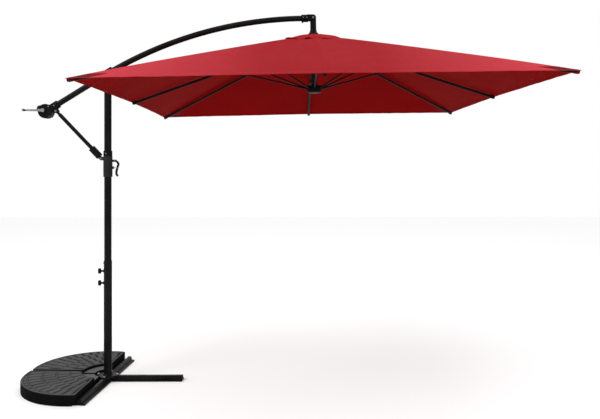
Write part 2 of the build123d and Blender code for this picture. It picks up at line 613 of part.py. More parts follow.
# ---- slider and strut ---------------------------------------------------------------
def make_slider():
    sleeve = tube_z(SLIDER_R, UPPER_R + 0.4, SLIDER_BOTTOM, SLIDER_SHOULDER)
    sleeve = fillet(sleeve.edges().filter_by(GeomType.CIRCLE).sort_by(Axis.Z)[:1], 2)
    for angle in range(30, 360, 30):
        if angle != 180:
            sleeve -= Rot(0, 0, angle) * bar_z(1.6, SLIDER_BOTTOM + 14, SLIDER_SHOULDER - 30, SLIDER_R + 0.4)
    px, pz = SLIDER_PIVOT
    for side in (-1, 1):
        y0, y1 = sorted((side * 10.5, side * 19))
        sleeve += block(px, -20, y0, y1, pz - 12, pz + 12) + bar_y(12, y0, y1, px, pz)
    lx, lz = LEVER_PIVOT
    sleeve += block(20, lx, -6, 6, lz - 8, lz + 8) + bar_y(8, -6, 6, lx, lz)
    sleeve += bar_x(9, 20, 40, z=BRAKE_Z)
    sleeve -= bar_y(10.5, -10.5, 10.5, px, pz)
    sleeve -= bar_y(4 + RUNNING, -40, 40, px, pz)
    sleeve -= bar_y(3, -40, 40, lx, lz)
    sleeve -= bar_x(5 + RUNNING, 10, 60, z=BRAKE_Z)
    sleeve -= bar_z(UPPER_R + 0.4, SLIDER_BOTTOM - 1, SLIDER_TOP)
    save("slider_sleeve", sleeve)

    ring = tube_z(SLIDER_R - 0.8, UPPER_R + 0.3, SLIDER_SHOULDER + 0.02, SLIDER_TOP)
    ring = fillet(ring.edges().filter_by(GeomType.CIRCLE).sort_by(Axis.Z)[-2:], 1.5)
    screw_x = -6
    screw_seat = SLIDER_R - 2.4
    screw_z = (SLIDER_SHOULDER + SLIDER_TOP) / 2
    ring -= bar_y(2.5, -40, -screw_seat + 2.5, screw_x, screw_z)
    ring -= bar_y(5, -40, -screw_seat, screw_x, screw_z)
    save("slider_ring", ring)

    screw = bar_y(2.45, -screw_seat - 0.5, -screw_seat + 2, screw_x, screw_z)
    screw += bar_y(4.8, -screw_seat - 3, -screw_seat - 0.05, screw_x, screw_z)
    strut_pin = bar_y(4, -20, 20, px, pz) + bar_y(6.5, -22, -19.05, px, pz) + bar_y(6.5, 19.05, 22, px, pz)
    lever_pin = bar_y(3, -12.5, 12.5, lx, lz)
    lever_pin += bar_y(5, -14.5, -12.45, lx, lz) + bar_y(5, 12.45, 14.5, lx, lz)
    save("slider_fasteners", screw, strut_pin, lever_pin)

    path = [(lx, lz), (64, 1466), (71, 1452), (64, 1430), (57, 1402), (57, 1386), (64, 1374)]
    lever = on_xz(thick_path(path, 11), 9)
    lever = lever + on_xz(Pos(lx, lz) * Circle(8), 12)
    lever -= on_xz(Pos(lx, lz) * Circle(10.5), 6.4)
    lever -= block(lx - 6, lx + 30, -6.4, 6.4, BRAKE_Z - 12, BRAKE_Z + 14) & block(40, 90, -20, 20, 1400, 1460)
    lever -= bar_y(3 + RUNNING, -20, 20, lx, lz)
    lever -= block(LINK_X - 2.8, LINK_X + 2.3, -20, 20, BRAKE_Z - 6.5, BRAKE_Z + 2.6)
    save("slider_lever", lever)
    plunger = bar_x(5, UPPER_R + 1.2, 50, z=BRAKE_Z)
    plunger += block(48, LINK_X + 4, -5.9, 5.9, BRAKE_Z - 4, BRAKE_Z + 4)
    plunger += bar_y(2, -8.6, 8.6, LINK_X, BRAKE_Z)
    save("lock_plunger", plunger)


def make_strut():
    place = Pos(SLIDER_PIVOT[0], 0, SLIDER_PIVOT[1]) * Rot(0, -STRUT_SLOPE, 0)
    socket = block(18, 96, -17, 17, -21, 21)
    socket = fillet(socket.edges().filter_by(Axis.X), 5)
    socket += on_xz(Circle(9) + Pos(14, 0) * Rectangle(28, 18), 9.6)
    socket -= bar_x(STRUT_R + RUNNING, 30, 120)
    socket -= bar_y(4 + RUNNING, -20, 20)
    save("strut_socket", place * socket)
    tube = bar_x(STRUT_R, 30, STRUT_LENGTH - 30) - bar_x(STRUT_R - 1.5, 29, STRUT_LENGTH - 40)
    tube += on_xz(Pos(STRUT_LENGTH, 0) * Circle(STRUT_EYE_R) + Pos(STRUT_LENGTH - 20, 0) * Rectangle(30, 17), 4)
    tube -= bar_y(STRUT_EYE_HOLE_R, -20, 20, STRUT_LENGTH)
    save("strut_tube", place * tube)


# ---- canopy fabric ------------------------------------------------------------------
def edge_point(angle, half, dip):
    """Point of the square's edge in a direction, pulled in towards the middle of each side."""
    turn = (angle + 45) % 90 - 45
    share = 1 - abs(turn) / 45
    reach = (half - dip * share) / math.cos(math.radians(turn))
    return reach * math.cos(math.radians(angle)), reach * math.sin(math.radians(angle))


def fabric_half(azimuth, side, inner_r, half, dip, apex, fall):
    """One flat leaf of fabric, from its rib's direction to the seam with the next panel."""
    corners = []
    outer_angles = (azimuth, azimuth + side * 22.5)
    for angle in outer_angles:
        ox, oy = edge_point(angle, half, dip)
        reach = math.hypot(ox, oy)
        ix, iy = ox * inner_r / reach, oy * inner_r / reach
        corners.append((ox, oy, ix, iy))
    shift = 0.4
    away = math.radians(azimuth + side * 22.5)
    sx = math.sin(away) * shift * side
    sy = -math.cos(away) * shift * side
    (ax, ay, bx, by), (cx, cy, dx, dy) = corners
    ring = [(bx, by), (ax, ay), (cx + sx, cy + sy), (dx + sx, dy + sy)]
    rate = fall / half

    def height(x, y):
        return apex - max(abs(x), abs(y)) * rate

    low = [Vector(x, y, height(x, y) - FABRIC) for x, y in ring]
    high = [Vector(x, y, height(x, y)) for x, y in ring]
    faces = [Face(Wire.make_polygon(low)), Face(Wire.make_polygon(high))]
    for i in range(4):
        j = (i + 1) % 4
        faces.append(Face(Wire.make_polygon([low[i], low[j], high[j], high[i]])))
    return Solid(Shell(faces))


VENT_FALL = VENT_HALF * RIM_DROP / CANOPY_HALF + VENT_APEX_Z - APEX_Z - VENT_LIFT
PANEL_LAYERS = (
    (60, CANOPY_HALF, EDGE_DIP, APEX_Z, RIM_DROP),
    (42, VENT_HALF, 0, VENT_APEX_Z, VENT_FALL),
)


def make_panel(number):
    azimuth = 45 * number - 45
    solids = []
    for inner, half, dip, apex, fall in PANEL_LAYERS:
        leaves = [fabric_half(azimuth, side, inner, half, dip, apex, fall) for side in (-1, 1)]
        solids.append(HANG * (leaves[0] + leaves[1]))
    save(f"canopy_panel_{number}", *solids)


# ---- build --------------------------------------------------------------------------
make_base()
save("weight_plate_front", weight_plate(-1))
save("weight_plate_back", weight_plate(1))
make_mast()
make_bracket()
make_arm()
make_housing()
make_crank()
make_elbow()
make_hub_and_runner()
make_slider()
make_strut()
for count in range(1, 9):
    make_rib(count)
    make_stretcher(count)
    make_panel(count)
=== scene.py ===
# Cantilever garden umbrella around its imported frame.  Metres; +X from the mast to the canopy, +Z up.
import json
import math
import random
import bmesh
import bpy
import numpy as np
from mathutils import Matrix, Vector, noise


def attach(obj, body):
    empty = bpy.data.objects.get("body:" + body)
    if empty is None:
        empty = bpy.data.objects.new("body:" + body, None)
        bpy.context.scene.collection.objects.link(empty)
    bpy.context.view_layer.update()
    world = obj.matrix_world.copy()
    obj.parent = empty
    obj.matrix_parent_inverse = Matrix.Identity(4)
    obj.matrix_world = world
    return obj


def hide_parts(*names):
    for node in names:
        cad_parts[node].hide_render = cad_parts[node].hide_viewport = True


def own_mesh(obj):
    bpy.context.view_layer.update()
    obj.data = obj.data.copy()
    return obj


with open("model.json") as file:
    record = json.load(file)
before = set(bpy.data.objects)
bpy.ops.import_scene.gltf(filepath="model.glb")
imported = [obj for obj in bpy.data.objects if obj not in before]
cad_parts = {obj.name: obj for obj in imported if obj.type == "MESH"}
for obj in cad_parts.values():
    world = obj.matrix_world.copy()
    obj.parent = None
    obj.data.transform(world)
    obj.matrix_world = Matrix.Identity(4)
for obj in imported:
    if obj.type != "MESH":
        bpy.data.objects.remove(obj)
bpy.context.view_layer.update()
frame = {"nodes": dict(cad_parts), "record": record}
random.seed(7)
JOINTS = {j["name"]: j for j in frame["record"]["behaviour"]["joints"]}
SCENE = bpy.context.scene


# ---- the canopy's own frame: origin at the elbow bolt, leaning with the hanger --------------
LEAN = math.radians(1.05)
ELBOW = Vector(JOINTS["hanger_level"]["pos_m"])
HANG = Matrix.Translation(ELBOW) @ Matrix.Rotation(-LEAN, 4, "Y")
HALF = 1.25
EDGE_DIP = 0.018
BOW = 0.006
APEX = -0.114
FALL = 0.442 / HALF
RIB_BOW = 0.009
FABRIC = 0.0015
VENT_HALF = 0.19
VENT_APEX = -0.104
VENT_LIFT = 0.004
VENT_FALL = FALL + (VENT_APEX - APEX - VENT_LIFT) / VENT_HALF
SECTOR = math.radians(22.5)
PANEL_COUNT = 8
SEAM_LAT = 0.0085
PIVOT_R = 0.038
HUB_Z = -0.161
CORNER_REACH = 1.768
CORNER_ZONE = 0.55
PANEL_INNER = 0.06
VENT_INNER = 0.042
VENT_FABRIC = 0.0012
MAIN_HEM = 0.020
VENT_HEM = 0.010
SEAM_STEP = 0.0015
SEAM_LIFT = 0.0008
HEM_LIFT = 0.0007
HEM_ROUND = 0.0006
HEM_MARGIN = 0.012


# ---- node graph helpers --------------------------------------------------------------------
def new_material(name):
    mat = bpy.data.materials.new(name)
    mat.use_nodes = True
    tree = mat.node_tree
    tree.nodes.clear()
    out = tree.nodes.new("ShaderNodeOutputMaterial")
    shader = tree.nodes.new("ShaderNodeBsdfPrincipled")
    tree.links.new(shader.outputs["BSDF"], out.inputs["Surface"])
    return mat, tree, shader


def node(tree, kind, **values):
    """Add a node; names with a leading underscore are its settings, others its inputs."""
    made = tree.nodes.new(kind)
    for key, value in values.items():
        if key.startswith("_"):
            setattr(made, key[1:], value)
        else:
            made.inputs[key.replace("__", " ")].default_value = value
    return made


def ramp(tree, source, stops):
    """Colour ramp from a list of (place, colour or grey)."""
    made = tree.nodes.new("ShaderNodeValToRGB")
    elements = made.color_ramp.elements
    while len(elements) < len(stops):
        elements.new(0.5)
    for element, (place, value) in zip(elements, stops):
        element.position = place
        colour = (value, value, value) if isinstance(value, (int, float)) else value
        element.color = (*colour, 1)
    tree.links.new(source, made.inputs["Fac"])
    return made.outputs["Color"]


def mix(tree, factor, first, second, mode="MIX"):
    """Mix two colours; each of the three may be a socket or a value."""
    made = tree.nodes.new("ShaderNodeMix")
    made.data_type = "RGBA"
    made.blend_type = mode
    for name, value in (("Factor", factor), ("A", first), ("B", second)):
        kind = "VALUE" if name == "Factor" else "RGBA"
        socket = [s for s in made.inputs if s.name == name and s.type == kind][0]
        if isinstance(value, bpy.types.NodeSocket):
            tree.links.new(value, socket)
        elif name == "Factor":
            socket.default_value = value
        else:
            socket.default_value = (*value, 1)
    return [s for s in made.outputs if s.type == "RGBA"][0]


def maths(tree, operation, first, second=0.0):
    made = tree.nodes.new("ShaderNodeMath")
    made.operation = operation
    for place, value in ((0, first), (1, second)):
        if isinstance(value, bpy.types.NodeSocket):
            tree.links.new(value, made.inputs[place])
        else:
            made.inputs[place].default_value = value
    return made.outputs[0]


def bump(tree, shader, height, distance, strength=1.0, before=None):
    made = node(tree, "ShaderNodeBump", Distance=distance, Strength=strength)
    tree.links.new(height, made.inputs["Height"])
    if before is not None:
        tree.links.new(before, made.inputs["Normal"])
    tree.links.new(made.outputs["Normal"], shader.inputs["Normal"])
    return made.outputs["Normal"]


def noise_value(tree, vector, scale, detail=3.0, rough=0.55):
    made = node(tree, "ShaderNodeTexNoise", Scale=scale, Detail=detail, Roughness=rough)
    tree.links.new(vector, made.inputs["Vector"])
    return made.outputs["Fac"]


def object_coords(tree):
    return tree.nodes.new("ShaderNodeTexCoord").outputs["Object"]


# ---- materials -----------------------------------------------------------------------------
STITCHES_PER_METRE = 170.0
STITCH_ROWS = (0.004, 0.0155)
STITCH_HALF = 0.0007


def cloth_material(name, colour, dark, light, rough=0.82, gloss=0.03, sheen=0.01, painted_highlight=None):
    """Dyed polyester cloth: woven threads, uneven dye, stitched hems, and if asked a painted highlight that
    lightens the colour towards both ends along X.
    """
    mat, tree, shader = new_material(name)
    flat = node(tree, "ShaderNodeUVMap", _uv_map="plan").outputs["UV"]
    hem = node(tree, "ShaderNodeUVMap", _uv_map="hem").outputs["UV"]
    threads = []
    for direction in ("X", "Y"):
        wave = node(
            tree, "ShaderNodeTexWave", _bands_direction=direction, Scale=420.0, Distortion=0.6, Detail=1.0,
        )
        tree.links.new(flat, wave.inputs["Vector"])
        threads.append(wave.outputs["Fac"])
    weave = maths(tree, "MAXIMUM", threads[0], threads[1])
    fade = ramp(tree, noise_value(tree, flat, 2.2, 4), [(0.3, 0.0), (0.72, 1.0)])
    slub = ramp(tree, noise_value(tree, flat, 60.0, 2), [(0.35, 0.0), (0.7, 1.0)])
    base = mix(tree, fade, dark, colour)
    base = mix(tree, maths(tree, "MULTIPLY", slub, 0.16), base, light)
    base = mix(tree, maths(tree, "MULTIPLY", weave, 0.10), base, light)
    # Painted highlight: the colour lightens towards both ends along X, standing in for grazing light on the
    # cloth.
    if painted_highlight is not None:
        side = node(tree, "ShaderNodeSeparateXYZ")
        tree.links.new(flat, side.inputs["Vector"])
        away = maths(tree, "ABSOLUTE", side.outputs["X"])
        highlight_amount = ramp(tree, maths(tree, "DIVIDE", away, HALF), [(0.25, 0.0), (0.95, 0.62)])
        base = mix(tree, highlight_amount, base, painted_highlight)
    split = node(tree, "ShaderNodeSeparateXYZ")
    tree.links.new(hem, split.inputs["Vector"])
    pitch = maths(tree, "MULTIPLY", split.outputs["X"], STITCHES_PER_METRE)
    dash = maths(tree, "GREATER_THAN", maths(tree, "FRACT", pitch), 0.3)
    rows = None
    for place in STITCH_ROWS:
        gap = maths(tree, "ABSOLUTE", maths(tree, "SUBTRACT", split.outputs["Y"], place))
        row = maths(tree, "LESS_THAN", gap, STITCH_HALF)
        rows = row if rows is None else maths(tree, "MAXIMUM", rows, row)
    stitch = maths(tree, "MULTIPLY", rows, dash)
    base = mix(tree, maths(tree, "MULTIPLY", stitch, 0.55), base, dark)
    tree.links.new(base, shader.inputs["Base Color"])
    tone = ramp(tree, noise_value(tree, flat, 9.0, 3), [(0.2, rough - 0.08), (0.8, rough + 0.08)])
    tree.links.new(tone, shader.inputs["Roughness"])
    shader.inputs["Sheen Weight"].default_value = sheen
    shader.inputs["Sheen Roughness"].default_value = 0.45
    shader.inputs["Sheen Tint"].default_value = (*light, 1)
    shader.inputs["Specular IOR Level"].default_value = gloss
    soft = bump(tree, shader, noise_value(tree, flat, 7.0, 3), 0.0016, 0.5)
    fine = bump(tree, shader, weave, 0.0002, 0.7, soft)
    bump(tree, shader, stitch, 0.0004, 0.8, fine)
    return mat


def paint_material(name, colour, rough=0.30, gloss=0.055, dust=(0.035, 0.035, 0.037)):
    """Powder-coated or enamelled metal: orange peel, faint dust and worn gloss."""
    mat, tree, shader = new_material(name)
    where = object_coords(tree)
    patch = ramp(tree, noise_value(tree, where, 6.0, 4), [(0.35, 0.0), (0.75, 1.0)])
    speck = ramp(tree, noise_value(tree, where, 260.0, 2), [(0.62, 0.0), (0.78, 1.0)])
    base = mix(tree, maths(tree, "MULTIPLY", patch, 0.16), colour, dust)
    base = mix(tree, maths(tree, "MULTIPLY", speck, 0.10), base, dust)
    tree.links.new(base, shader.inputs["Base Color"])
    tone = ramp(tree, noise_value(tree, where, 14.0, 4), [(0.25, rough - 0.07), (0.8, rough + 0.10)])
    tree.links.new(tone, shader.inputs["Roughness"])
    shader.inputs["Specular IOR Level"].default_value = gloss
    bump(tree, shader, noise_value(tree, where, 900.0, 2), 0.00006, 0.6)
    return mat


def plastic_material(name, colour, rough=0.48, light=(0.12, 0.12, 0.125)):
    """Moulded plastic with spark-eroded grain and handled, slightly shinier spots."""
    mat, tree, shader = new_material(name)
    where = object_coords(tree)
    rub = ramp(tree, noise_value(tree, where, 20.0, 3), [(0.35, 0.0), (0.8, 1.0)])
    base = mix(tree, maths(tree, "MULTIPLY", rub, 0.22), colour, light)
    tree.links.new(base, shader.inputs["Base Color"])
    tone = ramp(tree, noise_value(tree, where, 34.0, 3), [(0.2, rough - 0.08), (0.85, rough + 0.10)])
    tree.links.new(tone, shader.inputs["Roughness"])
    shader.inputs["Specular IOR Level"].default_value = 0.05
    cells = node(tree, "ShaderNodeTexVoronoi", Scale=900.0)
    tree.links.new(where, cells.inputs["Vector"])
    bump(tree, shader, cells.outputs["Distance"], 0.00012, 0.6)
    return mat


def metal_material(name, colour, rough=0.28, dull=(0.32, 0.32, 0.33)):
    """Zinc-plated or brushed bright metal with faint blotches and fine scratches."""
    mat, tree, shader = new_material(name)
    where = object_coords(tree)
    blot = ramp(tree, noise_value(tree, where, 90.0, 4), [(0.4, 0.0), (0.8, 1.0)])
    base = mix(tree, maths(tree, "MULTIPLY", blot, 0.45), colour, dull)
    tree.links.new(base, shader.inputs["Base Color"])
    shader.inputs["Metallic"].default_value = 1.0
    tone = ramp(tree, noise_value(tree, where, 160.0, 3), [(0.2, rough - 0.08), (0.85, rough + 0.16)])
    tree.links.new(tone, shader.inputs["Roughness"])
    scratch = node(tree, "ShaderNodeTexNoise", Scale=700.0, Detail=2.0, Distortion=1.5)
    tree.links.new(where, scratch.inputs["Vector"])
    bump(tree, shader, scratch.outputs["Fac"], 0.00005, 0.5)
    return mat


def stone_material(name, colour, pale, dark, gloss=0.08):
    """Cast grey resin concrete: speckled, slightly chalky, rough."""
    mat, tree, shader = new_material(name)
    where = object_coords(tree)
    cloud = ramp(tree, noise_value(tree, where, 9.0, 5), [(0.3, 0.0), (0.75, 1.0)])
    grit = ramp(tree, noise_value(tree, where, 420.0, 3, 0.7), [(0.45, 0.0), (0.7, 1.0)])
    base = mix(tree, cloud, dark, colour)
    base = mix(tree, maths(tree, "MULTIPLY", grit, 0.35), base, pale)
    tree.links.new(base, shader.inputs["Base Color"])
    tone = ramp(tree, noise_value(tree, where, 30.0, 4), [(0.2, 0.66), (0.8, 0.95)])
    tree.links.new(tone, shader.inputs["Roughness"])
    shader.inputs["Specular IOR Level"].default_value = gloss
    rough = bump(tree, shader, noise_value(tree, where, 120.0, 5, 0.65), 0.0010, 0.55)
    bump(tree, shader, grit, 0.0003, 0.6, rough)
    return mat


# The last colour is a painted highlight towards the canopy's left and right ends.
RED_TOP = cloth_material(
    "canopy_cloth", (0.265, 0.0075, 0.0115), (0.228, 0.0055, 0.0090), (0.40, 0.022, 0.032),
    painted_highlight=(0.56, 0.055, 0.075),
)
# Underside of the same cloth in darker, deeper reds: painted shade under the canopy, with the deep red of
# light coming through the cloth.
RED_UNDER_SHADE = cloth_material(
    "canopy_cloth_under_painted_shade", (0.165, 0.0010, 0.0010), (0.130, 0.0008, 0.0008), (0.23, 0.003, 0.0035),
    gloss=0.012, sheen=0.0,
)
RED_PATCH = cloth_material(
    "corner_pocket_cloth", (0.13, 0.004, 0.006), (0.10, 0.003, 0.004), (0.22, 0.012, 0.016),
)
BLACK_PAINT = paint_material("black_powder_coat", (0.0035, 0.0035, 0.0038))
RIB_PAINT = paint_material("rib_enamel", (0.0030, 0.0030, 0.0032), rough=0.38, gloss=0.035)
POST_PAINT = paint_material("post_enamel", (0.0060, 0.0060, 0.0064), rough=0.26, gloss=0.30)
BLACK_PLASTIC = plastic_material("black_plastic", (0.0036, 0.0036, 0.0038), light=(0.014, 0.014, 0.015))
GREY_PLASTIC = plastic_material("grey_plastic", (0.0170, 0.0172, 0.0180), light=(0.040, 0.041, 0.043))
POCKET_END = plastic_material("pocket_end", (0.060, 0.0030, 0.0045), rough=0.7, light=(0.10, 0.008, 0.011))
NYLON = plastic_material("nylon_bush", (0.010, 0.010, 0.0105), rough=0.55, light=(0.03, 0.03, 0.03))
ZINC = metal_material("zinc_plate", (0.55, 0.56, 0.58))
DARK_STEEL = metal_material("blackened_steel", (0.16, 0.16, 0.165), rough=0.38, dull=(0.06, 0.06, 0.06))
HANDLE_ALLOY = metal_material("handle_alloy", (0.24, 0.24, 0.25), rough=0.36, dull=(0.12, 0.12, 0.12))
STONE = stone_material("cast_weight", (0.082, 0.082, 0.082), (0.14, 0.14, 0.14), (0.060, 0.060, 0.060))
# Painted shadow: the plate's top between the bricks is coloured near black, standing in for the shade in the
# grooves.
STONE_GROOVE_SHADE = stone_material(
    "cast_weight_groove_painted_shade", (0.016, 0.016, 0.016), (0.04, 0.04, 0.04), (0.010, 0.010, 0.010),
)
STONE_FLOOR = stone_material(
    "cast_weight_recess", (0.120, 0.120, 0.120), (0.18, 0.18, 0.18), (0.090, 0.090, 0.090),
)
# Painted shade: the same cast stone, coloured near black on the faces that do not face up.
STONE_SIDE_SHADE = stone_material(
    "cast_weight_side_painted_shade", (0.0036, 0.0036, 0.0036), (0.012, 0.012, 0.012), (0.0022, 0.0022, 0.0022), gloss=0.02
)

NODE_FINISH = {
    "foot_bars": BLACK_PAINT, "mast_flange": BLACK_PAINT,
    "lower_mast": BLACK_PAINT, "upper_mast": BLACK_PAINT, "arm_bracket": BLACK_PAINT,
    "arm_tube": BLACK_PAINT, "strut_tube": BLACK_PAINT, "runner_post": POST_PAINT,
    "foot_end_caps": BLACK_PLASTIC, "thumb_screw_upper": BLACK_PLASTIC, "thumb_screw_lower": BLACK_PLASTIC,
    "slider_ring": BLACK_PLASTIC, "slider_lever": BLACK_PLASTIC, "strut_socket": BLACK_PLASTIC,
    "arm_saddle": BLACK_PLASTIC, "crank_housing_front": BLACK_PLASTIC, "crank_housing_back": BLACK_PLASTIC,
    "elbow_sleeve": BLACK_PLASTIC, "crank_grip": BLACK_PLASTIC, "elbow_leg": BLACK_PLASTIC,
    "dome_cap": BLACK_PLASTIC, "canopy_hub": BLACK_PLASTIC, "runner": BLACK_PLASTIC,
    "slider_sleeve": GREY_PLASTIC, "mast_bushes": NYLON, "crank_spool": NYLON,
    "flange_fasteners": ZINC, "arm_pivot_bolt": DARK_STEEL, "slider_fasteners": DARK_STEEL,
    "arm_fasteners": DARK_STEEL, "hub_pins": ZINC, "lock_plunger": ZINC, "runner_link": ZINC,
    "crank_handle": HANDLE_ALLOY,
}
for number in range(1, PANEL_COUNT + 1):
    NODE_FINISH[f"rib_{number}"] = RIB_PAINT
    NODE_FINISH[f"stretcher_{number}"] = RIB_PAINT


# ---- canopy cloth --------------------------------------------------------------------------
def turn_in_side(angle):
    """Degrees between a direction and the middle of the side that it crosses."""
    return (math.degrees(angle) + 45) % 90 - 45


def edge_reach(angle, half, dip, bow):
    """Distance from the centre to the hem in one direction; sides bow inward a little."""
    turn = turn_in_side(angle)
    share = abs(math.tan(math.radians(turn)))
    inward = dip * (1 - share) + bow * math.sin(math.pi * share)
    return (half - inward) / math.cos(math.radians(turn))


def soft_max(a, b, radius):
    """Larger of two values with a rounded crest between them."""
    top = max(a, b)
    overlap = radius - abs(a - b)
    return top + overlap * overlap / (4 * radius) if overlap > 0 else top


def between_ribs(angle):
    """0 on a rib, 1 half way to the next one."""
    return math.sin(4 * angle) ** 2


def main_height(x, y):
    """Height of the cloth's upper face, in the hanger's frame."""
    reach = math.hypot(x, y)
    angle = math.atan2(y, x)
    level = APEX - soft_max(abs(x), abs(y), 0.03) * FALL
    share = min(reach / edge_reach(angle, HALF, EDGE_DIP, BOW), 1.0)
    gap = between_ribs(angle)
    sag = 0.009 * 4 * share * (1 - share) + 0.002 * share
    level += RIB_BOW * (1 - abs(2 * share - 1) ** 3)
    pucker = 0.0016 * noise.noise(Vector((x * 5.5, y * 5.5, 3.1)))
    tip = max(0.0, 1 - (CORNER_REACH - reach) / CORNER_ZONE)
    pleat = 0.0022 * tip * math.sin(angle * 90 + 3 * reach)
    return level - gap * sag + (pucker + pleat) * min(gap * 2.5, 1.0)


def vent_height(x, y):
    """Height of the loose vent flap, which lifts and droops along its own hem."""
    reach = math.hypot(x, y)
    angle = math.atan2(y, x)
    share = min(reach / edge_reach(angle, VENT_HALF, 0.0, 0.0), 1.0)
    level = VENT_APEX - soft_max(abs(x), abs(y), 0.012) * VENT_FALL
    gap = between_ribs(angle)
    round_up = 0.016 * share * (1 - share ** 2)
    swirl = noise.noise(Vector((3.1 * math.cos(angle), 3.1 * math.sin(angle), 7.0)))
    billow = 0.020 * gap * share ** 2 * (0.30 + swirl)
    crease = 0.011 * share ** 2 * noise.noise(Vector((x * 21, y * 21, 1.7)))
    flutter = 0.0042 * share ** 4 * math.sin(11 * angle + 1.3)
    flutter += 0.0022 * share ** 4 * math.sin(23 * angle)
    return level + round_up + billow + crease + flutter


def sector_mesh(name, azimuth, inner, half, dip, bow, height, across, rings, hem_width, thickness,
                materials, pocket=None):
    """Panel of cloth centred on a rib: a closed thin solid, raised over the rib, with a doubled hem.

    pocket is (rows from the hem, columns each way, whether it shows on top as well)."""
    side_columns = [(SEAM_LAT - SEAM_STEP, 0.0)]
    side_columns += [(SEAM_LAT, (i / across) ** 1.15) for i in range(across + 1)]
    columns = [(-1, *c) for c in reversed(side_columns)] + [(1, 0.0, 0.0)] + [(1, *c) for c in side_columns]
    middle = len(side_columns)
    inward = [hem_width + 0.0012, hem_width, 0.5 * hem_width, 0.002, HEM_ROUND, 0.0]
    rows = [j / rings for j in range(rings)] + [1.0] * len(inward)
    extra = [None] * rings + inward
    verts = []
    plan = []
    hem = []
    for lift in (0, 1):
        for j, (share, step) in enumerate(zip(rows, extra)):
            for way, lateral, s in columns:
                angle = azimuth
                for _ in range(2):
                    reach = edge_reach(angle, half, dip, bow)
                    end = reach - inward[0] - HEM_MARGIN
                    radius = inner + (end - inner) * share if step is None else reach - step
                    angle = azimuth + way * (lateral / radius + s * (SECTOR - lateral / radius))
                x, y = radius * math.cos(angle), radius * math.sin(angle)
                z = height(x, y) + (SEAM_LIFT if lift and lateral < SEAM_LAT else 0.0)
                double = HEM_LIFT if step is not None and step <= hem_width else 0.0
                if step is not None and step <= HEM_ROUND:
                    double -= HEM_ROUND - step
                z += double if lift else -thickness - double
                verts.append(HANG @ Vector((x, y, z)))
                plan.append((x, y))
                turn = math.radians(turn_in_side(angle))
                hem.append((reach * math.sin(turn), reach - radius))
    width = len(columns)
    depth = len(rows)
    layer = width * depth
    faces = []
    slots = []
    for j in range(depth - 1):
        for i in range(width - 1):
            a = j * width + i
            quad = (a, a + 1, a + 1 + width, a + width)
            patch = pocket is not None and j >= rings - pocket[0] and abs(i + 0.5 - middle) < pocket[1]
            faces.append(quad)
            slots.append(2 if patch else 1)
            faces.append(tuple(layer + v for v in reversed(quad)))
            slots.append(2 if patch and pocket[2] else 0)
    border = list(range(width)) + [j * width + width - 1 for j in range(1, depth)]
    border += [(depth - 1) * width + i for i in range(width - 2, -1, -1)]
    border += [j * width for j in range(depth - 2, 0, -1)]
    for a, b in zip(border, border[1:] + border[:1]):
        faces.append((a, layer + a, layer + b, b))
        slots.append(0)
    mesh = bpy.data.meshes.new(name)
    mesh.from_pydata(verts, [], faces)
    for uv_name, source in (("plan", plan), ("hem", hem)):
        uv = mesh.uv_layers.new(name=uv_name)
        values = np.array([source[loop.vertex_index] for loop in mesh.loops], float)
        uv.data.foreach_set("uv", values.ravel())
    for polygon, slot_index in zip(mesh.polygons, slots):
        polygon.material_index = slot_index
        polygon.use_smooth = True
    for material in materials:
        mesh.materials.append(material)
    mesh.update()
    finish_mesh(mesh)
    obj = bpy.data.objects.new(name, mesh)
    SCENE.collection.objects.link(obj)
    return obj


def finish_mesh(mesh, angle=40):
    """Outward faces, and sharp shading only where the surface really turns."""
    work = bmesh.new()
    work.from_mesh(mesh)
    bmesh.ops.recalc_face_normals(work, faces=work.faces)
    for edge in work.edges:
        if len(edge.link_faces) == 2:
            edge.smooth = edge.calc_face_angle(0) < math.radians(angle)
    work.to_mesh(mesh)
    work.free()
    mesh.update()


def declare_cloth(obj, number):
    """The cloth rides its rib, with a mesh of its own."""
    body = f"rib_{number}"
    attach(obj, body)
    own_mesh(obj)


for number in range(1, PANEL_COUNT + 1):
    corner = number % 2 == 0
    azimuth = math.radians(45 * number - 45)
    main = sector_mesh(
        f"canopy_{number}", azimuth, PANEL_INNER, HALF, EDGE_DIP, BOW, main_height,
        across=14, rings=44, hem_width=MAIN_HEM, thickness=FABRIC,
        materials=(RED_TOP, RED_UNDER_SHADE, RED_PATCH), pocket=(2, 4, True) if corner else (1, 2, False),
    )
    vent = sector_mesh(
        f"vent_flap_{number}", azimuth, VENT_INNER, VENT_HALF, 0.0, 0.0, vent_height,
        across=12, rings=18, hem_width=VENT_HEM, thickness=VENT_FABRIC,
        materials=(RED_TOP, RED_UNDER_SHADE),
    )
    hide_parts(f"canopy_panel_{number}")
    declare_cloth(main, number)
    declare_cloth(vent, number)


# ---- rib-end caps --------------------------------------------------------------------------
def revolved(name, profile, place, material, body, sides=28):
    """Turned piece: profile is a list of (along, radius); it is turned about the local X axis."""
    verts = []
    faces = []
    for along, radius in profile:
        for k in range(sides):
            turn = 2 * math.pi * k / sides
            verts.append(place @ Vector((along, radius * math.cos(turn), radius * math.sin(turn))))
    for j in range(len(profile) - 1):
        for k in range(sides):
            k2 = (k + 1) % sides
            faces.append((j * sides + k, j * sides + k2, (j + 1) * sides + k2, (j + 1) * sides + k))
    faces.append(tuple(range(sides)))
    faces.append(tuple((len(profile) - 1) * sides + k for k in reversed(range(sides))))
    mesh = bpy.data.meshes.new(name)
    mesh.from_pydata(verts, [], faces)
    for polygon in mesh.polygons:
        polygon.use_smooth = True
    mesh.materials.append(material)
    finish_mesh(mesh)
    obj = bpy.data.objects.new(name, mesh)
    SCENE.collection.objects.link(obj)
    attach(obj, body)
    return obj


